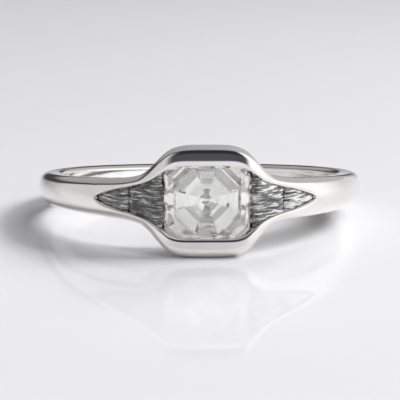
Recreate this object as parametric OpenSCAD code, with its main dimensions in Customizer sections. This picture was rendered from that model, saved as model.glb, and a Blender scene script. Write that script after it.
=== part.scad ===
// A cubic zirconia ring lying on its side: the head and its square step-cut stone point
// towards -Y, the finger hole runs up along Z apart from the small lean of the resting pose.
// All lengths are in millimetres and all angles in degrees.

/* [Finger hole and band] */
// Diameter of the finger hole
hole_d = 17.35; // [16.5:0.05:18.5]
// Thickness of the band at the sides and back of the finger
band_t = 1.38; // [1.2:0.02:1.6]
// Width of the band along the finger, at the sides of the finger
band_w = 1.8; // [1.7:0.02:2]
// Radius of the band's outer edges
band_round = 0.6; // [0.4:0.02:0.66]
// Radius of the edges of the finger hole
hole_round = 0.28; // [0.15:0.01:0.3]
// How much the outer face bulges between its edges
band_dome = 0.14; // [0.06:0.01:0.18]

/* [Head] */
// Width of the head along the finger
head_w = 6.55; // [6.35:0.05:6.9]
// Height of the head's rails above the finger hole
head_t = 3; // [2.9:0.02:3.2]
// Radius of the head's outer edges
head_round = 0.56; // [0.4:0.02:0.6]
// How much the head's sides lean in towards the finger, in millimetres for each millimetre
head_lean = 0.16; // [0.1:0.01:0.2]

/* [Main stone] */
// Side of the square main stone
stone_w = 5; // [4.8:0.05:5.05]
// Length cut off each side at each corner of the main stone
stone_cut = 0.9; // [0.8:0.05:1.05]
// Height of the main stone's girdle above the finger hole
stone_seat = 2.3; // [2.2:0.01:2.4]
// How much the head's lips cover of the main stone's edge
lip_cover = 0.44; // [0.36:0.02:0.5]

/* [Side stones] */
// Angle at the ring's centre from the middle of the head to the tips of the side stones
tip_angle = 37.4; // [36:0.2:39]
// Share of each side setting that the inner stone takes
inner_share = 0.48; // [0.42:0.01:0.54]
// How deep the side stones' girdles lie below the rails' faces
side_seat = 0.42; // [0.36:0.02:0.48]
// How much the rails cover of the side stones' edges
rail_cover = 0.1; // [0.06:0.01:0.14]
// Gap between a stone and the metal
stone_gap = 0.045; // [0.03:0.005:0.055]

/* [Hidden] */

metal = "silver";
stone = "aliceblue";

hole_r = hole_d / 2;
band_r = hole_r + band_t;
head_r = hole_r + head_t;

// The band and head are one sweep round the finger. Each row of this table is a section:
// its angle from the middle of the head, its width as a share of the way from the band's
// width to the head's, its thickness likewise, and the share of the head's rounding and lean.
S_ANGLE = 0;
S_WIDE = 1;
S_THICK = 2;
S_HEAD = 3;
SECTIONS = [
    [0,    1,     1,    1],
    [3,    1,     1.006, 1],
    [6,    0.992, 1.033, 1],
    [9,    0.95,  1.08, 1],
    [11.5, 0.865, 1.115, 0.95],
    [14.3, 0.66,  1.09, 0.78],
    [17.5, 0.405, 0.97, 0.45],
    [21,   0.235, 0.81, 0.15],
    [24.5, 0.175, 0.72, 0],
    [28,   0.14,  0.66, 0],
    [35,   0.11,  0.57, 0],
    [43,   0.09,  0.44, 0],
    [55,   0.062, 0.25, 0],
    [70,   0.03,  0.06, 0],
    [90,   0,     0,    0],
    [125, -0.045, 0,    0],
    [180, -0.09,  0,    0],
];

// The opening between the rails. Each row is a place in the side setting: its share of the
// way from the main stone's edge to the tip, and the opening's half width as a share of the
// opening's half width beside the main stone.
O_ALONG = 0;
O_HALF = 1;
OPENING = [
    [0,    1],
    [0.09, 0.83],
    [0.19, 0.665],
    [0.33, 0.53],
    [0.5,  0.425],
    [0.66, 0.33],
    [0.82, 0.21],
    [0.92, 0.11],
    [1,    0.02],
];

// The opening over the main stone. Each row is a place between the middle of the head and
// the stone's edge: its share of the way, and how far the opening's half width is from its
// half width beside the stone, 0, to its half width between the lips, 1.
L_ALONG = 0;
L_SHARE = 1;
LIPS = [
    [0,    1],
    [0.42, 1],
    [0.56, 0.985],
    [0.68, 0.92],
    [0.78, 0.79],
    [0.88, 0.54],
    [0.95, 0.27],
    [1,    0],
];

// The steps of the cut stones. Each row is an outline: its size as a share of the girdle's,
// its height above the girdle as a share of the crown's height, or below it, negative, as a
// share of the pavilion's depth, and for the main stone also the length of its four long
// sides as a share of the girdle's.
C_SIZE = 0;
C_HEIGHT = 1;
C_SIDE = 2;
MAIN_CROWN = [[0.9, 0.6, 0.91], [0.78, 1, 0.8]];
MAIN_PAVILION =
    [[0.81, -0.24, 0.375], [0.52, -0.57, 0.25], [0.26, -0.82, 0.15], [0.02, -1, 0.0125]];
SIDE_CROWN = [[0.91, 0.36], [0.77, 0.74], [0.6, 1]];
SIDE_PAVILION = [[0.82, -0.32], [0.55, -0.64], [0.27, -0.88], [0.02, -1]];
crown_h = 0.4;
girdle_h = 0.1;
culet_room = 0.25;
pavilion_h = stone_seat - culet_room;
open_back_share = 0.66;
open_back_h = 1.2;
side_crown_h = 0.24;
side_girdle_h = 0.08;
side_pavilion_h = 0.85;
band_lean = 0.04;

// Straight-line lookup of a table's column at x
function at(table, key, column, x, i = 0) =
    i >= len(table) - 2 || x <= table[i + 1][key]
        ? let (a = table[i], b = table[i + 1], t = (x - a[key]) / (b[key] - a[key]))
          a[column] + t * (b[column] - a[column])
        : at(table, key, column, x, i + 1);
// The same lookup, averaged over a short stretch so that the sweep has no kinks
smooth_span = 1.2;
function soft(column, a) =
    let (lo = max(0, a - smooth_span), hi = min(180, a + smooth_span))
    (at(SECTIONS, S_ANGLE, column, lo) + 2 * at(SECTIONS, S_ANGLE, column, a)
        + at(SECTIONS, S_ANGLE, column, hi)) / 4;

// Sizes of the band's section at an angle from the middle of the head
function half_w(a) = (band_w + soft(S_WIDE, abs(a)) * (head_w - band_w)) / 2;
function outer_r(a) = band_r + soft(S_THICK, abs(a)) * (head_r - band_r);
edge_share = 0.72;
function edge_r(a) =
    min(band_round + soft(S_HEAD, abs(a)) * (head_round - band_round), edge_share * half_w(a));
function lean(a) = band_lean + soft(S_HEAD, abs(a)) * (head_lean - band_lean);

// The outer face is a low dome that runs on into its rounded edges without a kink: the angle
// and half width at which it meets them, how much lower it is there, and the edges' centre
function dome_angle(a) = atan(2 * band_dome / half_w(a));
function face_half(a) = half_w(a) - edge_r(a) * (1 - sin(dome_angle(a)));
function face_drop(a) = face_half(a) * tan(dome_angle(a)) / 2;
function edge_centre(a) = outer_r(a) - face_drop(a) - edge_r(a) * cos(dome_angle(a));

// Upper half of the section, from the finger hole to the middle of the outer face, as
// [distance from the ring's centre, height along the finger]. The hole's edge is rounded
// from hole_start on, so that the finger hole's cylinder meets it squarely.
hole_start = 150;
inner_steps = 2;
edge_steps = 5;
face_steps = 3;
bore_cut = 0.4;
function upper_section(a) =
    let (w = half_w(a), e = edge_r(a), c = edge_centre(a),
         w_in = w - lean(a) * (c - hole_r), h = hole_round)
    concat(
        [[hole_r - bore_cut, w_in - h + h * sin(hole_start)]],
        [for (i = [0:inner_steps]) let (t = hole_start - (hole_start - 90) * i / inner_steps)
            [hole_r + h + h * cos(t), w_in - h + h * sin(t)]],
        [for (i = [0:edge_steps]) let (t = 90 - (90 - dome_angle(a)) * i / edge_steps)
            [c + e * cos(t), w - e + e * sin(t)]],
        [for (i = [1:face_steps - 1]) let (k = 1 - i / face_steps)
            [outer_r(a) - face_drop(a) * k * k, face_half(a) * k]]);
function section(a) =
    let (top = upper_section(a), n = len(top))
    concat([for (p = top) [p[0], -p[1]]], [for (i = [n - 1:-1:0]) top[i]]);

// A closed solid swept round the finger through sections with equal numbers of points
function ring_point(a, p) = [p[0] * sin(a), -p[0] * cos(a), p[1]];
function wall_faces(rings, n, closed) =
    [for (i = [0:rings - (closed ? 1 : 2)], j = [0:n - 1], half = [0, 1])
        let (i2 = (i + 1) % rings, j2 = (j + 1) % n,
             p = i * n + j, q = i * n + j2, r = i2 * n + j, s = i2 * n + j2)
        half == 0 ? [p, q, s] : [p, s, r]];
function cap(start, n, flip) =
    [[for (j = [0:n - 1]) start + (flip ? n - 1 - j : j)]];

// The sweep's angles: close together over the head and shoulders, wider round the back
head_step = 1.75;
head_steps = 24;
back_steps = 20;
head_end = head_step * head_steps;
half_angles = concat(
    [for (i = [0:head_steps]) i * head_step],
    [for (i = [1:back_steps]) head_end + i * (180 - head_end) / back_steps]);
angles = concat(half_angles, [for (i = [len(half_angles) - 2:-1:1]) 360 - half_angles[i]]);
function turn(a) = a > 180 ? a - 360 : a;

module swept_body() {
    sections = [for (a = angles) section(turn(a))];
    n = len(sections[0]);
    points = [for (i = [0:len(angles) - 1], p = sections[i]) ring_point(angles[i], p)];
    polyhedron(points, wall_faces(len(angles), n, true));
}

// The main stone's outline seen along its axis: a square with cut corners. h is half its
// width and k is half the length that its corners leave of each side.
function cut_square(h, k) =
    [[h, -k], [h, k], [k, h], [-k, h], [-h, k], [-h, -k], [-k, -h], [k, -h]];

// Angles and half widths of the opening between the rails
girdle_r = hole_r + stone_seat;
stone_angle = atan(stone_w / 2 / girdle_r);
lip_half = stone_w / 2 - lip_cover;
stone_side = stone_w / 2 - stone_cut;
corner_rise = 0.06;
corner_half = stone_side + corner_rise;
function lip_share(a) = at(LIPS, L_ALONG, L_SHARE, a / stone_angle);
function channel_half(a) =
    corner_half * at(OPENING, O_ALONG, O_HALF, (a - stone_angle) / (tip_angle - stone_angle));

// Cuts the opening through the rails: its walls flare outwards above the stones
channel_steps = 14;
lip_flare = 0.4;
rail_flare = 0.1;
opening_depth = 0.9;
tip_depth = 0.45;
flare_depth = 0.18;
opening_rise = 0.3;
opening_angles = concat(
    [for (row = LIPS) row[L_ALONG] * stone_angle],
    [for (i = [1:channel_steps])
        stone_angle + (tip_angle - stone_angle) * i / channel_steps]);
function opening_half(a) =
    a < stone_angle ? corner_half + lip_share(a) * (lip_half - corner_half) : channel_half(a);
function opening_flare(a) =
    rail_flare + (a < stone_angle ? lip_share(a) * (lip_flare - rail_flare) : 0);
function opening_floor(a) =
    a < split_angle ? opening_depth
        : opening_depth - (opening_depth - tip_depth) * (a - split_angle) / (tip_angle - split_angle);
function opening_section(a) =
    let (h = opening_half(abs(a)), r = outer_r(a),
         top = h + opening_flare(abs(a)) * (1 + opening_rise / flare_depth))
    [[r - opening_floor(abs(a)), -h], [r - flare_depth, -h], [r + opening_rise, -top],
     [r + opening_rise, top], [r - flare_depth, h], [r - opening_floor(abs(a)), h]];
module rail_opening() {
    n_half = len(opening_angles);
    all = concat([for (i = [n_half - 1:-1:1]) -opening_angles[i]], opening_angles);
    n = len(opening_section(0));
    points = [for (a = all, p = opening_section(a)) ring_point(a, p)];
    faces = concat(wall_faces(len(all), n, false), cap(0, n, true),
                   cap((len(all) - 1) * n, n, false));
    polyhedron(points, faces);
}

// A step-cut stone: outlines with equal numbers of points, stacked from the table down to
// the culet. The outlines lie in X and Z, the table faces -Y, and the girdle's lower edge is
// at y = 0. A stone's seat in the metal is the same shape with larger outlines, and higher
// and lower by grow.
module stack(outlines, heights) {
    n = len(outlines[0]);
    points = [for (i = [0:len(outlines) - 1], p = outlines[i]) [p[0], -heights[i], p[1]]];
    faces = concat(wall_faces(len(outlines), n, false), cap(0, n, true),
                   cap((len(outlines) - 1) * n, n, false));
    polyhedron(points, faces);
}
// The rows of a crown table, from the table facet down, then the girdle and the pavilion,
// with their heights in millimetres
function cut_rows(crown, crown_top, girdle, pavilion, depth) =
    concat(
        [for (i = [len(crown) - 1:-1:0])
            [crown[i][C_SIZE], girdle + crown_top * crown[i][C_HEIGHT], crown[i][C_SIDE]]],
        [[1, girdle, 1], [1, 0, 1]],
        [for (row = pavilion) [row[C_SIZE], depth * row[C_HEIGHT], row[C_SIDE]]]);
function cut_heights(rows, girdle, grow) =
    [for (row = rows) row[C_HEIGHT] + grow * sign(row[C_HEIGHT] - girdle / 2)];

module main_cut(grow = 0) {
    rows = cut_rows(MAIN_CROWN, crown_h, girdle_h, MAIN_PAVILION, pavilion_h);
    outlines = [for (row = rows)
        cut_square(row[C_SIZE] * (stone_w / 2 + grow), row[C_SIDE] * (stone_side + grow))];
    translate([0, -girdle_r, 0])
        stack(outlines, cut_heights(rows, girdle_h, grow));
}

// The open back under the main stone, which lets light in from the finger hole
module open_back() {
    rotate([90, 0, 0])
        cylinder(h = hole_r + open_back_h, r = stone_w * open_back_share / 2, $fn = 48);
}

// The side stones fill the side settings between two angles, tucked under the rails. Each
// lies along the straight line between its two ends, which are as deep as side_seat says.
stone_spacing = 0.06;
split_angle = stone_angle + inner_share * (tip_angle - stone_angle);
spacing_angle = stone_spacing / 2 / band_r * 180 / PI;
inner_start = 0.35;
outer_stop = 0.3;
inner_from = stone_angle + inner_start;
inner_to = split_angle - spacing_angle;
outer_from = split_angle + spacing_angle;
outer_to = tip_angle - outer_stop;
// A point of the stones' seat at an angle, as [distance across, distance towards the front]
function seat_point(a) = (outer_r(a) - side_seat) * [sin(a), cos(a)];
function covered_half(half) = half + min(rail_cover, half);
function side_outline(from, to, places, grow) =
    let (start = seat_point(from), run = seat_point(to) - start,
         tops = [for (i = [0:places - 1])
             let (t = i / (places - 1), p = start + t * run)
             [(t - 0.5) * (norm(run) + 2 * grow),
              covered_half(channel_half(atan2(p[0], p[1]))) + grow]])
    concat([for (p = tops) [p[0], -p[1]]], [for (i = [places - 1:-1:0]) tops[i]]);
// Cuts one side stone between two angles. Each long side runs straight between places where
// its half width is that of the opening: the inner stone's has two, the outer's more.
inner_places = 2;
outer_places = 5;
module side_cut(from, to, places, grow = 0) {
    middle = (seat_point(from) + seat_point(to)) / 2;
    run = seat_point(to) - seat_point(from);
    outline = side_outline(from, to, places, grow);
    rows = cut_rows(SIDE_CROWN, side_crown_h, side_girdle_h, SIDE_PAVILION, side_pavilion_h);
    translate([middle[0], -middle[1], 0])
        rotate([0, 0, -atan2(run[1], run[0])])
            stack([for (row = rows) row[C_SIZE] * outline],
                  cut_heights(rows, side_girdle_h, grow));
}
module inner_cut(grow = 0) { side_cut(inner_from, inner_to, inner_places, grow); }
module outer_cut(grow = 0) { side_cut(outer_from, outer_to, outer_places, grow); }

// The leaned resting pose: the head's lower edge and the back of the band touch the
// surface, found as the line that touches both rounded edges from below. The origin lies on
// the surface, half way between the ring's front and its back.
front_v = edge_centre(0);
front_w = half_w(0) - head_round;
back_round = edge_r(180);
back_v = edge_centre(180);
back_w = half_w(180) - back_round;
rest_run = norm([front_v + back_v, front_w - back_w]);
rest_lean = atan2(front_w - back_w, front_v + back_v)
    + asin((head_round - back_round) / rest_run);
rest_up = back_v * sin(rest_lean) + back_w * cos(rest_lean) + back_round;
rest_front = front_v * cos(rest_lean) + front_w * sin(rest_lean) + head_round;
rest_back = back_v * cos(rest_lean) + back_w * sin(rest_lean) + back_round;
module resting() {
    translate([0, (rest_front - rest_back) / 2, rest_up])
        rotate([-rest_lean, 0, 0])
            children();
}

module band() {
    color(metal)
        resting()
            difference() {
                swept_body();
                cylinder(h = 2 * head_w, r = hole_r, center = true, $fn = 96);
                rail_opening();
                main_cut(stone_gap);
                open_back();
                for (side = [0, 1])
                    mirror([side, 0, 0]) {
                        inner_cut(stone_gap);
                        outer_cut(stone_gap);
                    }
            }
}
module main_stone() {
    color(stone)
        resting()
            main_cut();
}
module left_inner_stone() {
    color(stone)
        resting()
            mirror([1, 0, 0])
                inner_cut();
}
module right_inner_stone() {
    color(stone)
        resting()
            inner_cut();
}
module left_outer_stone() {
    color(stone)
        resting()
            mirror([1, 0, 0])
                outer_cut();
}
module right_outer_stone() {
    color(stone)
        resting()
            outer_cut();
}

band();
main_stone();
left_inner_stone();
right_inner_stone();
left_outer_stone();
right_outer_stone();
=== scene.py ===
# %% [markdown]
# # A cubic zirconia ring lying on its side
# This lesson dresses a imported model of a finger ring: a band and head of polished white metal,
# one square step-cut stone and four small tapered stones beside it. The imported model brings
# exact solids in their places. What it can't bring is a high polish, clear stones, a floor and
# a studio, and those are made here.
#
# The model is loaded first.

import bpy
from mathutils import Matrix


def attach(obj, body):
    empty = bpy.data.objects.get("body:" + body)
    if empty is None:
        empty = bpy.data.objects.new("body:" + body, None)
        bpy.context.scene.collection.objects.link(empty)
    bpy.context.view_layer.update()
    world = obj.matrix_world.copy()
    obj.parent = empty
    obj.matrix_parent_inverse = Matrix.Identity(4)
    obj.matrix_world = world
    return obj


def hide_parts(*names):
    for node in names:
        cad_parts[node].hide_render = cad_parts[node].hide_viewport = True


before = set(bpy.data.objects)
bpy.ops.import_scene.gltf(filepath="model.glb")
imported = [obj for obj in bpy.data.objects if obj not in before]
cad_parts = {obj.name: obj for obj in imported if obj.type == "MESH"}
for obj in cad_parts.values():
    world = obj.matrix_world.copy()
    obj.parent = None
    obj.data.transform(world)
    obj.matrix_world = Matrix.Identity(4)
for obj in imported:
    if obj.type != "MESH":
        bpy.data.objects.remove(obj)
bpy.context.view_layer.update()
print("nodes:", sorted(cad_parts))

# %% [markdown]
# ## Modules and the unit
# Blender counts in metres and a jeweller in millimetres, so every size below is written in
# millimetres and multiplied by `MM` where it goes into Blender. The model arrives selected, and
# the operators act on all that is selected, so everything is deselected before the first one.

# %% Modules and the unit
import math

import bpy
import numpy as np
from mathutils import Matrix, Vector
from mathutils.kdtree import KDTree

MM = 0.001
SAME_PLACE = 0.0005 * MM        # vertices closer than this are one
scene = bpy.context.scene
bpy.ops.object.select_all(action="DESELECT")
print("one millimetre is", MM, "units")

# %% [markdown]
# ## The camera
# The photograph was taken with a long lens, a little above the ring and almost square to its
# head. A camera can be placed by eye, or worked out from the outlines of the object. A ring is
# a good target for the second way, because its rims are ellipses that give the angle away.
# Here that was done, so the place and the angles are plain numbers: where the camera stands,
# how far it looks down and aside, and how much it rolls.

# %% Camera
IMAGE = 400
FOCAL_PIXELS = 2239.9
SENSOR = 36.0
camera_place = Vector((-5.54, -136.80, 30.98)) * MM
look_down = math.radians(12.296)
look_aside = math.radians(2.317)
camera_roll = math.radians(-0.321)

camera_data = bpy.data.cameras.new("camera")
camera_data.sensor_width = SENSOR
camera_data.lens = SENSOR * FOCAL_PIXELS / IMAGE
camera_data.clip_start = 1 * MM
camera_data.clip_end = 10.0
camera = bpy.data.objects.new("camera", camera_data)
scene.collection.objects.link(camera)
camera.matrix_world = (Matrix.Translation(camera_place)
                       @ Matrix.Rotation(-look_aside, 4, "Z")
                       @ Matrix.Rotation(math.radians(90) - look_down, 4, "X")
                       @ Matrix.Rotation(-camera_roll, 4, "Z"))
scene.camera = camera
print(f"lens {camera_data.lens:.1f} mm")

# %% [markdown]
# ## Two helpers
# Almost every step below selects one piece, works on it, and then says how heavy it became.
# Both are written once. A piece that is to be made lighter or heavier is easy to find when
# each one reports its triangles.

# %% Select one piece, count its triangles
def only(piece):
    """Selects one piece and makes it active."""
    bpy.ops.object.select_all(action="DESELECT")
    piece.select_set(True)
    bpy.context.view_layer.objects.active = piece
    return piece


def count(piece):
    """Says how many triangles a piece has."""
    triangles = sum(len(p.vertices) - 2 for p in piece.data.polygons)
    print(f"{piece.name}: {triangles} triangles")


count(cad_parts["band"])

# %% [markdown]
# ## The sizes of the ring
# The band is a plain round wire behind the finger. Towards the head it grows wider and taller,
# opens into two rails that hold the side stones between them, and ends in two lips that hold
# the main stone at its upper and lower edge. These are the same named sizes as in the solid
# model, in millimetres, because the dressed band has to lie in the same place.

# %% Named sizes
hole_d = 17.35          # the finger hole
band_t = 1.38           # thickness and width of the band behind the finger
band_w = 1.8
band_round = 0.6        # rounding of its outer edges, and of the edges of the hole
hole_round = 0.28
band_dome = 0.14        # how much its outer face bulges
edge_share = 0.72       # the edges' rounding, at most, as a share of the half width
head_w = 6.55           # width and thickness of the head
head_t = 3.0
head_round = 0.56
head_lean = 0.16        # how far the side faces lean in, per millimetre, at head and band
band_lean = 0.04
stone_w = 5.0           # the main stone, its cut corners, and its seat above the hole
stone_cut = 0.9
stone_seat = 2.3
stone_gap = 0.045       # free space round a stone
lip_cover = 0.44        # how far the upper lip reaches over the main stone
tip_angle = 37.4        # where the outer stones end, in degrees round the ring

hole_r = hole_d / 2
band_r = hole_r + band_t
head_r = hole_r + head_t
stone_angle = math.degrees(math.atan(stone_w / 2 / (hole_r + stone_seat)))
print(f"the main stone ends at {stone_angle:.1f} degrees, the outer stones at {tip_angle}")

# %% [markdown]
# ## Three tables that give the ring its flow
# A ring is carved by hand from a few stations: so wide here, so thick there. The tables hold
# those stations. The first gives the width and thickness at some angles round the ring, as
# shares of the way from the plain band (0) to the head (1). The second narrows the opening
# between the rails towards its tip, and the third lets the lips run out towards the rails.

# %% Tables of the sweep
# angle, width, thickness, share of the head's rounding and lean
SECTIONS = np.array([
    (0, 1, 1, 1),
    (3, 1, 1.006, 1),
    (6, 0.992, 1.033, 1),
    (9, 0.95, 1.08, 1),
    (11.5, 0.865, 1.115, 0.95),
    (14.3, 0.66, 1.09, 0.78),
    (17.5, 0.405, 0.97, 0.45),
    (21, 0.235, 0.81, 0.15),
    (24.5, 0.175, 0.72, 0),
    (28, 0.14, 0.66, 0),
    (35, 0.11, 0.57, 0),
    (43, 0.09, 0.44, 0),
    (55, 0.062, 0.25, 0),
    (70, 0.03, 0.06, 0),
    (90, 0, 0, 0),
    (125, -0.045, 0, 0),
    (180, -0.09, 0, 0),
])
# share of the way from the main stone to the tip, half width as a share of that at the stone
OPENING = np.array([
    (0, 1),
    (0.09, 0.83),
    (0.19, 0.665),
    (0.33, 0.53),
    (0.5, 0.425),
    (0.66, 0.33),
    (0.82, 0.21),
    (0.92, 0.11),
    (1, 0),
])
# share of the way from the middle to the stone's edge, share of the lips' half width
LIPS = np.array([
    (0, 1),
    (0.42, 1),
    (0.56, 0.985),
    (0.68, 0.92),
    (0.78, 0.79),
    (0.88, 0.54),
    (0.95, 0.27),
    (1, 0),
])
print(len(SECTIONS), "stations round half the ring")

# %% [markdown]
# ## Reading a table smoothly
# Straight lines from station to station would leave kinks, and polished metal shows the
# smallest kink as a broken reflection. A plain spline is smooth but can swing past its
# stations and make waves. The curve used here takes the harmonic mean of the slopes on both
# sides of a station and is level at a high or low point, so that it never swings past.

# %% Smooth reading of a table
def fair(table, column, x):
    """Reads a table by a smooth curve through its rows that never swings past them."""
    keys, values = table[:, 0], table[:, column]
    steps, rises = np.diff(keys), np.diff(values)
    slopes = rises / steps
    tangents = np.zeros(len(keys))
    for i in range(1, len(keys) - 1):
        if slopes[i - 1] * slopes[i] > 0:
            near, far = 2 * steps[i] + steps[i - 1], steps[i] + 2 * steps[i - 1]
            tangents[i] = (near + far) / (near / slopes[i - 1] + far / slopes[i])
    x = np.clip(x, keys[0], keys[-1])
    i = np.clip(np.searchsorted(keys, x) - 1, 0, len(keys) - 2)
    t = (x - keys[i]) / steps[i]
    return (values[i] * (1 + 2 * t) * (1 - t) ** 2 + tangents[i] * steps[i] * t * (1 - t) ** 2
            + values[i + 1] * t * t * (3 - 2 * t) + tangents[i + 1] * steps[i] * t * t * (t - 1))


def soft(column, angle, span=1.2):
    """The same curve, averaged over a short stretch of the ring."""
    reach = np.abs(angle + np.array([-1, -0.5, 0, 0.5, 1]) * span)
    weights = np.array([1, 2, 3, 2, 1]) / 9
    return float(sum(w * fair(SECTIONS, column, min(a, 360 - a))
                     for w, a in zip(weights, reach)))


print("width shares:", {angle: round(soft(1, angle), 2) for angle in (0, 20, 90)})

# %% [markdown]
# ## The opening between the rails
# The channel that holds the stones is part of the section. Over the main stone it is as wide
# as the lips leave free, and beyond the stone it follows the narrowing table and becomes
# shallower, until it closes with a short rounded end. Its two edges are rounded a little, as
# a burnisher leaves them after the metal is pressed over the stones.

# %% The channel at one angle
upper_lip = (stone_w / 2 - lip_cover, 0.2)      # half width to the lip, and its flare
lower_lip = (stone_w / 2 - 0.34, 0.1)
corner_half = stone_w / 2 - stone_cut + 0.06    # half width where the stone's side begins
rail_flare = 0.09
flare_depth = 0.12
rail_round = 0.13
trough_depth, tip_depth = 0.9, 0.45
closing = 3.0                                   # degrees over which the end closes


def channel(angle, lip_half, lip_flare):
    """Half width, flare, depth and edge rounding of the opening between the rails."""
    if angle >= tip_angle:
        return 0, 0, 0, 0
    if angle < stone_angle:
        share = float(fair(LIPS, 1, angle / stone_angle))
        half = corner_half + share * (lip_half - corner_half)
        return half, rail_flare + share * (lip_flare - rail_flare), trough_depth, rail_round
    along = (angle - stone_angle) / (tip_angle - stone_angle)
    half = corner_half * float(fair(OPENING, 1, along))
    close = min(1, (tip_angle - angle) / closing) ** 0.5
    depth = trough_depth - (trough_depth - tip_depth) * along
    return half, rail_flare * close, depth * close, rail_round * close


print(f"opening at the middle of the head: {2 * channel(0, *upper_lip)[0]:.2f} mm")

# %% [markdown]
# ## The outer face
# The outer face of the band is a low dome that runs into rounded edges. Where the two meet,
# they have the same slope, and this matters more than any size: a dome that meets its edges at
# an angle leaves a thin bright line round the whole ring. So the angle at which the dome arrives
# is worked out first, and the edge's arc begins at exactly that angle.

# %% Dome and rounded edges
def shell_sizes(angle):
    """Half width, radius and edge radius, then the angle, half width and drop at which the
    dome meets its edges, and how far out the centre of the edges' arc is."""
    wide = (band_w + soft(1, angle) * (head_w - band_w)) / 2
    outer = band_r + soft(2, angle) * (head_r - band_r)
    edge = min(band_round + soft(3, angle) * (head_round - band_round), edge_share * wide)
    meet = math.atan(2 * band_dome / wide)
    flat = wide - edge * (1 - math.sin(meet))
    drop = flat * math.tan(meet) / 2
    return wide, outer, edge, meet, flat, drop, outer - drop - edge * math.cos(meet)


def over(z, sizes):
    """Height and slope of the outer face at z: a low dome, then the rounded edge."""
    wide, outer, edge, meet, flat, drop, centre = sizes
    if z <= flat:
        return outer - drop * (z / flat) ** 2, -2 * drop * z / flat ** 2
    turn = min(z - wide + edge, 0.999 * edge)
    rise = math.sqrt(edge ** 2 - turn ** 2)
    return centre + rise, -turn / rise


print(f"the dome meets its edges at {math.degrees(shell_sizes(180)[3]):.1f} degrees")

# %% [markdown]
# ## One half of the section
# A section is one closed line round the metal. Here its upper half is walked from the floor
# of the channel up the wall, over the rounded rail, along the outer face, round the edge, down
# the side and into the finger hole. Each stretch always gets the same number of points. That
# is the one rule of a sweep: if every section has its points in the same order, the sections
# join into clean rows of faces.

# %% Lines and arcs
def line(a, b, steps):
    """Points along a straight line, its end left out."""
    return [(a[0] + (b[0] - a[0]) * i / steps, a[1] + (b[1] - a[1]) * i / steps)
            for i in range(steps)]


def arc(centre, radius, start, end, steps):
    """Points round an arc, its end left out."""
    turns = [math.radians(start + (end - start) * i / steps) for i in range(steps)]
    return [(centre[0] + radius * math.cos(t), centre[1] + radius * math.sin(t)) for t in turns]


def even(points, steps):
    """Spreads points evenly along a line of points, the end left out."""
    points = np.array(points)
    run = np.concatenate([[0], np.cumsum(np.linalg.norm(np.diff(points, axis=0), axis=1))])
    places = np.linspace(0, run[-1], steps + 1)[:-1]
    return [(float(np.interp(p, run, points[:, 0])), float(np.interp(p, run, points[:, 1])))
            for p in places]


print(len(even(line((0, 0), (1, 0), 3) + [(1, 0)], 5)), "even points along a test line")

# %% Channel, rail, face and hole
def rail(angle, lip, sizes):
    """Floor and wall of the channel and its rounded rail, and where the outer face begins."""
    half, flare, depth, rounding = channel(angle, *lip)
    rim = half + flare
    top = over(rim, sizes)[0]
    throat = top - min(flare_depth, depth)
    slope = flare / max(top - throat, 1e-6)
    length = math.hypot(1, slope)
    wall_end = (top - rounding / length, rim - rounding * slope / length)
    face_z = rim + rounding
    face_r, face_slope = over(face_z, sizes)
    # the rail rounds the corner where the wall's line meets the face's tangent
    high = (face_r + face_slope * (half - slope * throat - face_z)) / (1 - face_slope * slope)
    corner = (high, half + slope * (high - throat))
    points = line((top - depth, 0), (top - depth, half), 3)
    points += line((top - depth, half), (throat, half), 4)
    points += line((throat, half), wall_end, 4)
    for t in np.arange(8) / 8:
        points.append(tuple(wall_end[k] * (1 - t) ** 2 + corner[k] * 2 * t * (1 - t)
                            + (face_r, face_z)[k] * t * t for k in (0, 1)))
    return points, face_z


def half_section(angle, lip=upper_lip):
    """Upper half of the section, as (distance from the ring's centre, height)."""
    sizes = shell_sizes(angle)
    wide, outer, edge, meet, flat, drop, centre = sizes
    lean = band_lean + soft(3, angle) * (head_lean - band_lean)
    wide_in = wide - lean * (centre - hole_r)
    points, face_z = rail(angle, lip, sizes)
    shell = []
    if face_z < flat:
        shell += [(over(z, sizes)[0], z) for z in np.linspace(face_z, flat, 20)[:-1]]
    begin = math.degrees(max(meet, math.asin(max(0, face_z - wide + edge) / edge)))
    shell += arc((centre, wide - edge), edge, begin, 90, 30) + [(centre, wide)]
    points += even(shell, 26)
    hole_corner = (hole_r + hole_round, wide_in - hole_round)
    points += line((centre, wide), (hole_corner[0], wide_in), 8)
    points += arc(hole_corner, hole_round, 90, 180, 10)
    points += line((hole_r, wide_in - hole_round), (hole_r, 0), 5)
    return points + [(hole_r, 0)]


print(len(half_section(0)), "points in half a section")

# %% [markdown]
# ## Spin the section round the finger
# A real band like this is cast from a wax. In Blender a swept body can be lofted in code or
# made as by hand, with a circle that is spun round an axis. The circle is the way here: it is
# added with as many vertices as a section has points, bent into the section of the head, and
# spun round the finger hole's axis. That gives a plain ring of the right build, and the last
# and first section are merged so that it is closed.

# %% Spin
STEPS = 360


def whole_section(angle):
    upper, lower = half_section(angle), half_section(angle, lower_lip)
    return np.array(upper + [(r, -z) for r, z in lower[-2:0:-1]])


def ring_point(angle, points):
    turn = math.radians(angle)
    return np.stack([points[:, 0] * math.sin(turn), -points[:, 0] * math.cos(turn),
                     points[:, 1]], axis=1) * MM


template = whole_section(0)
bpy.ops.mesh.primitive_circle_add(vertices=len(template), radius=band_w * MM)
band = bpy.context.object
band.name = "polished_band"
for vertex, place in zip(band.data.vertices, ring_point(0, template)):
    vertex.co = place
bpy.ops.object.mode_set(mode="EDIT")
bpy.ops.mesh.select_all(action="SELECT")
bpy.ops.mesh.spin(steps=STEPS, angle=math.tau, center=(0, 0, 0), axis=(0, 0, 1))
bpy.ops.mesh.select_all(action="SELECT")
bpy.ops.mesh.remove_doubles(threshold=SAME_PLACE)
bpy.ops.object.mode_set(mode="OBJECT")
print(len(band.data.vertices), "vertices, expected", STEPS * len(template))

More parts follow.
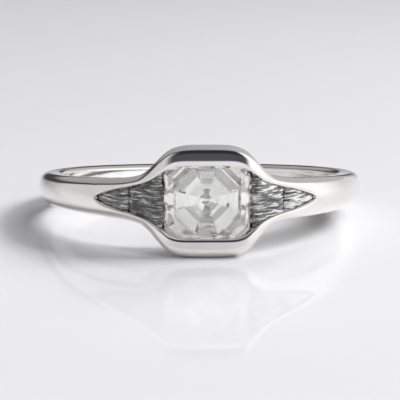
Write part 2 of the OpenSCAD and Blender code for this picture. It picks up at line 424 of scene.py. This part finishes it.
# %% [markdown]
# ## Shape each section
# Now every section of the spun ring is moved to its own shape. The spin mixes up the order of
# the vertices, so each one is recognised by its place: its angle names the section, and its
# distance and height name the point of the template that it was spun from. Behind the tips
# the channel has no depth, so its points fall together and are merged at the end.

# %% Shape the sections
tree = KDTree(len(template))
for i, (r, z) in enumerate(template):
    tree.insert((r, z, 0), i)
tree.balance()
shaped = {}
for vertex in band.data.vertices:
    x, y, z = vertex.co / MM
    angle = math.degrees(math.atan2(x, -y))
    place = tree.find((math.hypot(x, y), z, 0))[1]
    key = round(angle * STEPS / 360)
    if key not in shaped:
        shaped[key] = ring_point(key * 360 / STEPS, whole_section(abs(key * 360 / STEPS)))
    vertex.co = shaped[key][place]
bpy.ops.object.mode_set(mode="EDIT")
bpy.ops.mesh.select_all(action="SELECT")
bpy.ops.mesh.remove_doubles(threshold=SAME_PLACE)
bpy.ops.mesh.normals_make_consistent(inside=False)
bpy.ops.object.mode_set(mode="OBJECT")
count(band)

# %% [markdown]
# ## Lay the ring down
# A ring on a table rests on two places: the lower edge of its wide head and the lower edge of
# the band at its back. The head is wider, so the ring leans back a few degrees. The line that
# touches both rounded edges from below is worked out from their centres and radii. The lean
# and place go into the mesh, so that the object itself stays at the origin.

# %% Resting pose
front, back = shell_sizes(0), shell_sizes(180)
front_v, front_w = front[6], front[0] - head_round
back_round = back[2]
back_v, back_w = back[6], back[0] - back_round
run = math.hypot(front_v + back_v, front_w - back_w)
rest_lean = (math.atan2(front_w - back_w, front_v + back_v)
             + math.asin((head_round - back_round) / run))
rest_up = back_v * math.sin(rest_lean) + back_w * math.cos(rest_lean) + back_round
rest_front = front_v * math.cos(rest_lean) + front_w * math.sin(rest_lean) + head_round
rest_back = back_v * math.cos(rest_lean) + back_w * math.sin(rest_lean) + back_round


def lay_down(piece):
    """Leans a piece modelled upright into the resting pose, with its place in its mesh."""
    only(piece)
    piece.rotation_euler = (-rest_lean, 0, 0)
    piece.location = Vector((0, (rest_front - rest_back) / 2, rest_up)) * MM
    bpy.ops.object.transform_apply(location=True, rotation=True, scale=True)


lay_down(band)
print(f"lean {math.degrees(rest_lean):.3f} degrees, up {rest_up:.4f} mm")

# %% [markdown]
# ## Cut the seats
# A setter cuts a seat for each stone that is a hair wider than the stone. The same is done
# here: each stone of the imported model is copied, its loose triangles are merged, the copy is
# grown by the gap and then taken away from the band with a Boolean modifier. The modifier
# hands the copy's material to the walls of the seat, so that the hidden metal behind the small
# stones can stay rough while the visible metal is polished.

# %% A merged copy of a node
STONES = ["main_stone", "left_inner_stone", "right_inner_stone", "left_outer_stone",
          "right_outer_stone"]


def merged_copy(node, name):
    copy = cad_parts[node].copy()
    copy.data = copy.data.copy()
    copy.name = name
    copy.parent = None
    for key in list(copy.keys()):
        del copy[key]
    scene.collection.objects.link(copy)
    only(copy)
    bpy.ops.object.mode_set(mode="EDIT")
    bpy.ops.mesh.select_all(action="SELECT")
    bpy.ops.mesh.remove_doubles(threshold=SAME_PLACE)
    bpy.ops.mesh.dissolve_limited(angle_limit=math.radians(0.5))
    bpy.ops.object.mode_set(mode="OBJECT")
    return copy


print(len(STONES), "stones to seat")

# %% Cut away from the band
def cut_away(tool):
    """Takes one piece away from the band and removes it."""
    only(band)
    cut = band.modifiers.new(tool.name, "BOOLEAN")
    cut.operation = "DIFFERENCE"
    cut.object = tool
    cut.solver = "EXACT"
    cut.material_mode = "TRANSFER" if tool.data.materials else "INDEX"
    bpy.ops.object.modifier_apply(modifier=cut.name)
    bpy.data.objects.remove(tool)


polished = bpy.data.materials.new("polished")
unpolished = bpy.data.materials.new("unpolished")
band.data.materials.append(polished)
for node in STONES:
    seat = merged_copy(node, "seat")
    seat.data.materials.clear()
    seat.data.materials.append(polished if node == "main_stone" else unpolished)
    bpy.ops.object.mode_set(mode="EDIT")
    bpy.ops.mesh.select_all(action="SELECT")
    bpy.ops.transform.shrink_fatten(value=stone_gap * MM, use_even_offset=True)
    bpy.ops.object.mode_set(mode="OBJECT")
    cut_away(seat)
count(band)

# %% [markdown]
# ## Open the back of the setting
# Behind the main stone the metal is drilled through to the finger hole. It saves metal, lets
# light into the stone and lets it be cleaned. The drill is a cylinder from the ring's centre
# outwards. It is laid down as the band was, and cut away in the same manner. The band is then
# shaded smooth, with edges over 28 degrees kept sharp, so that only the true corners are lines.
# A Boolean leaves some rims unmarked, so the sharp edges are also selected and marked by hand.

# %% Drill
drill_r = 1.65
drill_length = hole_r + 1.2
sharp_over = math.radians(28)
bpy.ops.mesh.primitive_cylinder_add(vertices=96, radius=drill_r * MM, depth=drill_length * MM)
drill = bpy.context.object
drill.name = "drill"
drill.rotation_euler = (math.pi / 2, 0, 0)
drill.location = (0, -drill_length / 2 * MM, 0)
bpy.ops.object.transform_apply(location=True, rotation=True, scale=True)
lay_down(drill)
cut_away(drill)
bpy.ops.object.shade_smooth_by_angle(angle=sharp_over)
bpy.ops.object.mode_set(mode="EDIT")
bpy.ops.mesh.select_mode(type="EDGE")
bpy.ops.mesh.select_all(action="DESELECT")
bpy.ops.mesh.edges_select_sharp(sharpness=sharp_over)
bpy.ops.mesh.mark_sharp()
bpy.ops.object.mode_set(mode="OBJECT")
print(sum(edge.use_edge_sharp for edge in band.data.edges), "sharp edges")
count(band)

# %% [markdown]
# ## Shade the finger hole as a true cylinder
# The drill cuts across the long narrow faces of the finger hole's wall. Without its rim marked
# sharp, those faces are shaded as if the metal turned there, and the mirror shows steps round
# the drilled hole. Even with the mark, the corners of the wall are a few degrees off. But its
# true shape is known: everywhere it faces straight to the hole's axis. So each corner that lies
# on the wall is given exactly that direction, and the others keep theirs.

# %% Directions of the finger hole's wall
hole_axis = Matrix.Rotation(-rest_lean, 3, "X") @ Vector((0, 0, 1))
hole_centre = Vector((0, (rest_front - rest_back) / 2, rest_up)) * MM


def from_axis(point):
    """From the finger hole's axis to a point, square to the axis."""
    away = point - hole_centre
    return away - hole_axis * away.dot(hole_axis)


wall_like = math.cos(math.radians(20))      # a face of the wall faces the axis this closely
wall_reach = (hole_r + 0.001) * MM
before = [Vector(n.vector) for n in band.data.corner_normals]
directions, furthest = [(0, 0, 0)] * len(before), 0.0
for face in band.data.polygons:
    for corner, vertex in zip(face.loop_indices, face.vertices):
        away = from_axis(band.data.vertices[vertex].co)
        inward = -away.normalized()
        if away.length < wall_reach and face.normal.dot(inward) > wall_like:
            directions[corner] = inward
            furthest = max(furthest, before[corner].angle(inward))
band.data.normals_split_custom_set(directions)
print(f"the wall's corners were up to {math.degrees(furthest):.1f} degrees off")

# %% [markdown]
# ## Helpers for materials
# A material is a small graph of nodes. Wiring it link by link is hard to read, so the few
# moves that repeat get a name: make a material, add a node, join two sockets, stretch a value
# from one range to another, and mix two colours by a value. All patterns are noise in the
# piece's own coordinates, so they stay on the metal when the ring or the camera moves.

# %% Make, add and join
def material(name):
    """A new material and its shader."""
    made = bpy.data.materials.new(name)
    made.use_nodes = True
    return made, made.node_tree.nodes["Principled BSDF"]


def add(made, kind, **settings):
    """Adds one node to a material; inputs are given by name."""
    node = made.node_tree.nodes.new("ShaderNode" + kind)
    for name, value in settings.items():
        if hasattr(node, name):
            setattr(node, name, value)
        else:
            node.inputs[name.replace("_", " ")].default_value = value
    return node


def join(made, output, target):
    made.node_tree.links.new(output, target)


print("helpers: material, add, join")

# %% Noise, ranges and tints
def grain(made, scale, turn=(0, 0, 0), detail=2.0):
    """Noise in the piece's own space: scale is in grains per metre along each axis."""
    place = add(made, "TexCoord")
    mapping = add(made, "Mapping", Scale=scale, Rotation=turn)
    noise = add(made, "TexNoise", Scale=1.0, Detail=detail)
    join(made, place.outputs["Object"], mapping.inputs["Vector"])
    join(made, mapping.outputs["Vector"], noise.inputs["Vector"])
    return noise.outputs["Fac"]


def between(made, value, low, high, at=(0.0, 1.0)):
    """Stretches a value from the range at to the range low-high, and keeps it in there."""
    spread = add(made, "MapRange")
    join(made, value, spread.inputs["Value"])
    for i, number in enumerate((*at, low, high)):
        spread.inputs[1 + i].default_value = number
    return spread.outputs["Result"]


def combine(made, operation, one, two):
    node = add(made, "Math", operation=operation)
    join(made, one, node.inputs[0])
    join(made, two, node.inputs[1])
    return node.outputs[0]


def tint(made, value, dark, light):
    mix = add(made, "Mix", data_type="RGBA")
    join(made, value, mix.inputs["Factor"])
    mix.inputs[6].default_value = (*dark, 1)
    mix.inputs[7].default_value = (*light, 1)
    return mix.outputs[2]


print("helpers: grain, between, combine, tint")

# %% [markdown]
# ## Polished white metal
# Rhodium-bright silver or white gold is a nearly perfect mirror, a little warm in tone. A pure
# mirror looks like plastic chrome, though, because worn metal has hairline scratches in a few
# directions, and smears that blur it by a trace. Three stretched noises are the hairlines: one
# round the band and two across it. They raise the roughness where they are and dent the
# surface by a few thousandths of a millimetre.

# %% Polished metal
metal, shader = material("polished_white_metal")
shader.inputs["Metallic"].default_value = 1
cloud = grain(metal, (500, 500, 500), detail=3.0)
join(metal, tint(metal, between(metal, cloud, 0, 1, (0.35, 0.65)),
                 (0.85, 0.835, 0.81), (0.895, 0.88, 0.86)), shader.inputs["Base Color"])
round_the_band = grain(metal, (900, 900, 42000), (0.05, 0.03, 0), 1.0)
across = grain(metal, (38000, 1100, 1400), (0.3, 0.8, 0.5), 1.0)
slanting = grain(metal, (1000, 33000, 1700), (0.9, 0.2, 0.6), 1.0)
hairlines = combine(metal, "ADD", between(metal, round_the_band, 0, 1, (0.66, 0.74)),
                    combine(metal, "ADD", between(metal, across, 0, 0.7, (0.69, 0.76)),
                            between(metal, slanting, 0, 0.7, (0.69, 0.76))))
smears = between(metal, grain(metal, (1800, 1800, 1800), detail=4.0), 0.015, 0.05, (0.4, 0.7))
join(metal, combine(metal, "ADD", smears, between(metal, hairlines, 0, 0.07)),
     shader.inputs["Roughness"])
scratches = add(metal, "Bump", invert=True, Strength=0.05, Distance=0.004 * MM)
join(metal, hairlines, scratches.inputs["Height"])
join(metal, scratches.outputs["Normal"], shader.inputs["Normal"])
band.data.materials[0] = metal
print("metal nodes:", len(metal.node_tree.nodes))

# %% [markdown]
# ## Metal that the polisher can't reach
# Inside the closed seats of the small stones the metal stays as the cutter left it: pitted,
# and dark, from nearly black in the pits to a pale grey. It is seen only through the stones,
# where it gives them their dark sparkle.

# %% Metal in the seats
raw, shader = material("unpolished_metal")
shader.inputs["Metallic"].default_value = 1
pits = grain(raw, (9000, 9000, 9000), detail=4.0)
join(raw, tint(raw, pits, (0.14, 0.14, 0.135), (0.75, 0.74, 0.72)), shader.inputs["Base Color"])
join(raw, between(raw, pits, 0.25, 0.5), shader.inputs["Roughness"])
for slot in range(1, len(band.data.materials)):
    band.data.materials[slot] = raw
print("material slots on the band:", len(band.data.materials))

# %% [markdown]
# ## Cut stones
# Cubic zirconia bends light strongly (2.15, against 1.5 for glass), and its facets mirror each
# other many times over. The main stone is open at the back and looks clear and bright. The
# small stones sit in closed seats, and light that entered them comes back in thin dark and
# bright streaks along their length. Those streaks are finer than their facets, so they are
# painted: a stretched noise draws them, and where it is low the stone is a painted dark
# reflection that lets no light through, where it is high it is a painted white glint, and
# between the two it is clear. The side towards the dark wall of the room gets more painted
# dark reflections, as a table with one row for each stone.

# %% A cut stone
def cut_stone(name, tones, clear, size, dark_at, bright_at, dent, shine):
    """Zirconia with painted reflections. tones: the colour of its painted dark reflections
    and of its painted white glints; clear: how much light goes through its painted dark streaks,
    its body and its painted bright streaks; size: streaks per metre along each axis;
    dark_at and bright_at: where in the noise they begin and end; dent: depth of
    the streaks' bump in millimetres; shine: how strongly its surface mirrors."""
    made, shader = material(name)
    shader.inputs["IOR"].default_value = 2.15
    shader.inputs["Specular IOR Level"].default_value = shine
    # the noise that draws the painted dark reflections and painted white glints, and the bump
    streaks = grain(made, size, detail=3.0)
    join(made, tint(made, between(made, streaks, 0, 1, dark_at), *tones),
         shader.inputs["Base Color"])
    join(made, combine(made, "MULTIPLY", between(made, streaks, clear[0], clear[1], dark_at),
                       between(made, streaks, 1, clear[2], bright_at)),
         shader.inputs["Transmission Weight"])
    lines = grain(made, (2500, 60000, 2500), (0.4, 0.3, 0.7), 1.0)
    join(made, between(made, lines, 0.0, 0.012, (0.55, 0.8)), shader.inputs["Roughness"])
    polish = add(made, "Bump", Strength=0.3, Distance=dent * MM)
    join(made, streaks, polish.inputs["Height"])
    join(made, polish.outputs["Normal"], shader.inputs["Normal"])
    return made


# stone, where the painted dark reflections begin and end, where the painted white glints do
STREAKS = [
    ("left_inner_stone", (0.46, 0.52), (0.57, 0.63)),
    ("left_outer_stone", (0.44, 0.50), (0.55, 0.61)),
    ("right_inner_stone", (0.43, 0.49), (0.53, 0.59)),
    ("right_outer_stone", (0.39, 0.44), (0.47, 0.53)),
]
finish = {"main_stone": cut_stone("clear_zirconia", ((0.97, 0.97, 0.955), (0.99, 0.99, 0.98)),
                                  (0.95, 0.95, 1), (700, 700, 700), (0.35, 0.65), (0.7, 0.8),
                                  0.001, 0.5)}
for node, dark_at, bright_at in STREAKS:
    # the small stones: painted dark reflections and painted white glints
    finish[node] = cut_stone("streaked_zirconia_" + node, ((0.015, 0.015, 0.015), (1, 1, 0.98)),
                             (0.1, 1, 0.2), (1300, 1300, 9500), dark_at, bright_at, 0.002, 0.3)
for node in STONES:
    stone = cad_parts[node]
    stone.data.materials.clear()
    stone.data.materials.append(finish[node])
print("stones:", {node: finish[node].name for node in STONES})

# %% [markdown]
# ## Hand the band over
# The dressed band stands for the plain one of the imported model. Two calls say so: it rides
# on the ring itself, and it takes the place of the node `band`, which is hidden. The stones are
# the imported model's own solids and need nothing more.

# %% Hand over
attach(band, "root")
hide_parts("band")
print("replaced: band")

# %% [markdown]
# ## The floor
# The ring lies on a glossy white board. It is almost plain, but it mirrors the ring faintly.
# A smooth clear surface does that. Its index is low, so that the mirror image stays weak from
# above and grows towards the far edge, where the view grazes it.

# %% Floor
bpy.ops.object.select_all(action="DESELECT")
bpy.ops.mesh.primitive_plane_add(size=3)
floor = bpy.context.object
floor.name = "floor"
white, shader = material("satin_white")
fleck = grain(white, (300, 300, 300), detail=3.0)
join(white, tint(white, fleck, (0.785, 0.783, 0.80), (0.80, 0.798, 0.815)),
     shader.inputs["Base Color"])
join(white, between(white, fleck, 0.015, 0.03), shader.inputs["Roughness"])
shader.inputs["IOR"].default_value = 1.13
floor.data.materials.append(white)
print("floor is", floor.dimensions.x, "m wide")

# %% [markdown]
# ## The studio: how to paint a room with numbers
# Polished metal shows nothing of its own: what the eye sees is the room in it. So the room is
# the real material of this ring, and it is painted on the sky around the scene, as brightness
# by direction. Two angles name a direction: the azimuth round the ring, 0 behind the camera
# and growing to the right, and the elevation above the floor. A few small helpers turn them
# into soft-edged areas.

# %% Directions in the room
world = bpy.data.worlds.new("studio")
scene.world = world
world.use_nodes = True
nodes, links = world.node_tree.nodes, world.node_tree.links
background = nodes["Background"]


def math_node(operation, *values):
    node = nodes.new("ShaderNodeMath")
    node.operation = operation
    for socket, value in zip(node.inputs, values):
        if isinstance(value, (int, float)):
            socket.default_value = value
        else:
            links.new(value, socket)
    return node.outputs[0]


place = nodes.new("ShaderNodeTexCoord").outputs["Generated"]
split = nodes.new("ShaderNodeSeparateXYZ")
links.new(place, split.inputs[0])
x, y, z = split.outputs
azimuth = math_node("ARCTAN2", x, math_node("MULTIPLY", y, -1.0))
elevation = math_node("ARCSINE", z)
print("nodes for directions:", len(nodes))

# %% Soft steps and blends
def ramp(value, low, high):
    """0 below low and 1 above high, with a smooth step between them."""
    step = nodes.new("ShaderNodeMapRange")
    step.interpolation_type = "SMOOTHSTEP"
    links.new(value, step.inputs[0])
    step.inputs[1].default_value = low
    step.inputs[2].default_value = high
    return step.outputs[0]


def turned(angle, low, high):
    """The same for an angle, with its limits in degrees."""
    return ramp(angle, math.radians(low), math.radians(high))


def but(value):
    """1 where the value is 0, and 0 where it is 1."""
    return math_node("SUBTRACT", 1.0, value)


def blend(share, off, on):
    """off where share is 0 and on where it is 1."""
    mix = nodes.new("ShaderNodeMix")
    mix.data_type = "FLOAT"
    for socket, value in zip((mix.inputs[0], mix.inputs[2], mix.inputs[3]), (share, off, on)):
        if isinstance(value, (int, float)):
            socket.default_value = value
        else:
            links.new(value, socket)
    return mix.outputs[0]


print("helpers: ramp, turned, but, blend")

# %% [markdown]
# ## The canopy and the walls
# The photograph's reflections tell where things stood. The upper faces of the band mirror a
# grey canopy that leans over the ring from behind, brighter on the right, with a dark rim. The
# outer face mirrors the walls: pale on the left, a large white softbox on the right, and pale
# again behind. The head's upper lip mirrors a slate-dark area straight above the camera, and
# its lower lip and the side of the band mirror a dark line under the canopy.

# %% Canopy
canopy_axis = (0, 0.465, 0.885)
canopy_left, canopy_right, canopy_rim = 0.37, 0.55, 0.16
tilt = math_node("ADD", math_node("MULTIPLY", y, canopy_axis[1]),
                 math_node("MULTIPLY", z, canopy_axis[2]))
canopy = blend(ramp(x, -0.6, 0.7), canopy_left, canopy_right)
rim = math_node("MULTIPLY", but(ramp(tilt, 0.56, 0.68)), but(ramp(x, -0.1, 0.3)))
canopy = blend(rim, canopy, canopy_rim)
print("canopy leans", round(math.degrees(math.atan2(canopy_axis[1], canopy_axis[2]))), "degrees")

# %% Walls
left_wall, softbox_wall, back_wall, far_wall = 0.66, 1.2, 0.74, 1.0
slate_low, slate_high, far_left_wall, dark_line = 0.1, 0.03, 0.2, 0.06
walls = blend(turned(azimuth, 20, 40), left_wall, softbox_wall)
walls = blend(turned(azimuth, 95, 140), walls, back_wall)
walls = blend(turned(azimuth, 158, 172), walls, far_wall)
slate = math_node("MULTIPLY", turned(azimuth, -36, -6), but(turned(azimuth, 18, 40)))
slate = math_node("MULTIPLY", slate, turned(elevation, 2, 8))
walls = blend(slate, walls, blend(turned(elevation, 6, 36), slate_low, slate_high))
far_left = math_node("MULTIPLY", but(turned(azimuth, -150, -120)), turned(elevation, -6, 8))
walls = blend(far_left, walls, far_left_wall)
edge = math_node("MULTIPLY", ramp(tilt, 0.36, 0.48), but(ramp(x, 0.15, 0.4)))
walls = blend(edge, walls, dark_line)
light = blend(ramp(tilt, 0.555, 0.6), walls, canopy)
print("walls:", left_wall, softbox_wall, back_wall, far_wall)

# %% [markdown]
# ## What the room does to the floor and to the stones
# If the painted room also lit the floor, every change for the metal would change the shadows.
# So the light that the floor receives from it is one plain, low value, and lamps do the rest.
# Light that comes out of a stone is lifted in the dark parts, because the stone also gathers
# light from the lamps, which are hidden from it so that no square lamp shows in a facet.

# %% Light by kind of ray
rays = nodes.new("ShaderNodeLightPath")
on_board = 0.20
stone_share, stone_lift, stone_most = 0.95, 0.34, 1.12
light = blend(rays.outputs["Is Diffuse Ray"], light, on_board)
through = math_node("ADD", math_node("MULTIPLY", light, stone_share), stone_lift)
through = math_node("MINIMUM", through, stone_most)
light = blend(rays.outputs["Is Transmission Ray"], light, through)
links.new(light, background.inputs["Strength"])
cool = nodes.new("ShaderNodeMix")
cool.data_type = "RGBA"
links.new(math_node("MULTIPLY", slate, but(rays.outputs["Is Transmission Ray"])), cool.inputs[0])
cool.inputs[6].default_value = (1, 1, 1, 1)
cool.inputs[7].default_value = (0.93, 0.94, 1.06, 1)
links.new(cool.outputs[2], background.inputs["Color"])
print("studio nodes:", len(nodes))

# %% [markdown]
# ## Lamps
# Three square lamps make the soft shadows. Their directions were worked out from the shadow
# on the board: most of the light comes from the right, some from behind on the right, which
# throws the shadow of the head forward and to the left, and a little from the front. The
# metal doesn't mirror them, since the painted room already holds their white areas.

# %% Soft lamps
def direction(az, el, distance):
    az, el = math.radians(az), math.radians(el)
    return Vector((math.sin(az) * math.cos(el), -math.cos(az) * math.cos(el),
                   math.sin(el))) * distance


def place_lamp(name, kind, spot, target, power):
    """A lamp that looks at its target, and that no mirror, stone or camera shows."""
    data = bpy.data.lights.new(name, kind)
    data.energy = power
    lamp = bpy.data.objects.new(name, data)
    scene.collection.objects.link(lamp)
    lamp.location = spot
    lamp.rotation_euler = (spot - target).to_track_quat("Z", "Y").to_euler()
    lamp.visible_glossy = False
    lamp.visible_transmission = False
    lamp.visible_camera = False
    return data


# name, azimuth, elevation, distance and size in metres, power in watts
SOFT_LAMPS = [
    ("key", 100, 40, 0.8, 0.28, 5.8),
    ("back", 150, 30, 1.5, 0.6, 9.8),
    ("fill", 38, 42, 1.0, 0.45, 2.0),
]
for name, az, el, distance, size, power in SOFT_LAMPS:
    place_lamp(name, "AREA", direction(az, el, distance), Vector(), power).size = size
print("soft lamps:", len(SOFT_LAMPS))

# %% [markdown]
# ## Patches of light on the board
# A polished ring throws light onto what it lies on: the photograph has a bright patch inside
# the ring on the left, a warm glow on the right, also under the rail, and a wide faint one in
# front. Tracing those caustics takes far too many samples, so each is a spot lamp with a soft
# edge. Each one is aimed at the place on the floor that the camera sees at a given pixel.

# %% Spot lamps
def on_floor(across, down):
    """The place on the floor that the camera sees at a pixel of the picture."""
    ray = camera.matrix_world.to_3x3() @ Vector(((across - IMAGE / 2) / FOCAL_PIXELS,
                                                 (IMAGE / 2 - down) / FOCAL_PIXELS, -1))
    return camera_place - ray * (camera_place.z / ray.z)


SPOT_DISTANCE = 0.2
SPOT_RADIUS = 6 * MM
# name, pixel, azimuth and elevation, radius in millimetres, power in watts, colour
PATCHES = [
    ("patch_inside", (104, 228), (135, 52), 3.6, 0.5, (1, 0.99, 0.98)),
    ("patch_right", (345, 222), (60, 60), 5.6, 0.22, (1, 0.95, 0.88)),
    ("patch_front", (322, 240), (40, 60), 8.0, 0.05, (1, 0.98, 0.96)),
    ("patch_under", (308, 223), (30, 42), 5.0, 0.16, (1, 0.94, 0.86)),
    ("patch_wide", (185, 280), (38, 60), 16.0, 0.13, (1, 0.99, 0.97)),
]
for name, pixel, toward, radius, power, colour in PATCHES:
    target = on_floor(*pixel)
    data = place_lamp(name, "SPOT", target + direction(*toward, SPOT_DISTANCE), target, power)
    data.spot_size = 2 * math.atan(radius * MM / SPOT_DISTANCE)
    data.spot_blend = 1.0
    data.shadow_soft_size = SPOT_RADIUS
    data.color = colour
    print(name, "at", [round(c / MM, 1) for c in target], "mm")

# %% [markdown]
# ## Colours and bounces
# The photograph has plain contrast, so the view transform is the plain one. Light has to pass
# through two faces of a stone and bounce from facet to facet inside, and a low limit on
# bounces would turn the stones black, so the limits are raised.

# %% View and bounces
scene.view_settings.view_transform = "Standard"
scene.cycles.max_bounces = 24
scene.cycles.glossy_bounces = 20
scene.cycles.transmission_bounces = 20
print("most bounces:", scene.cycles.max_bounces)
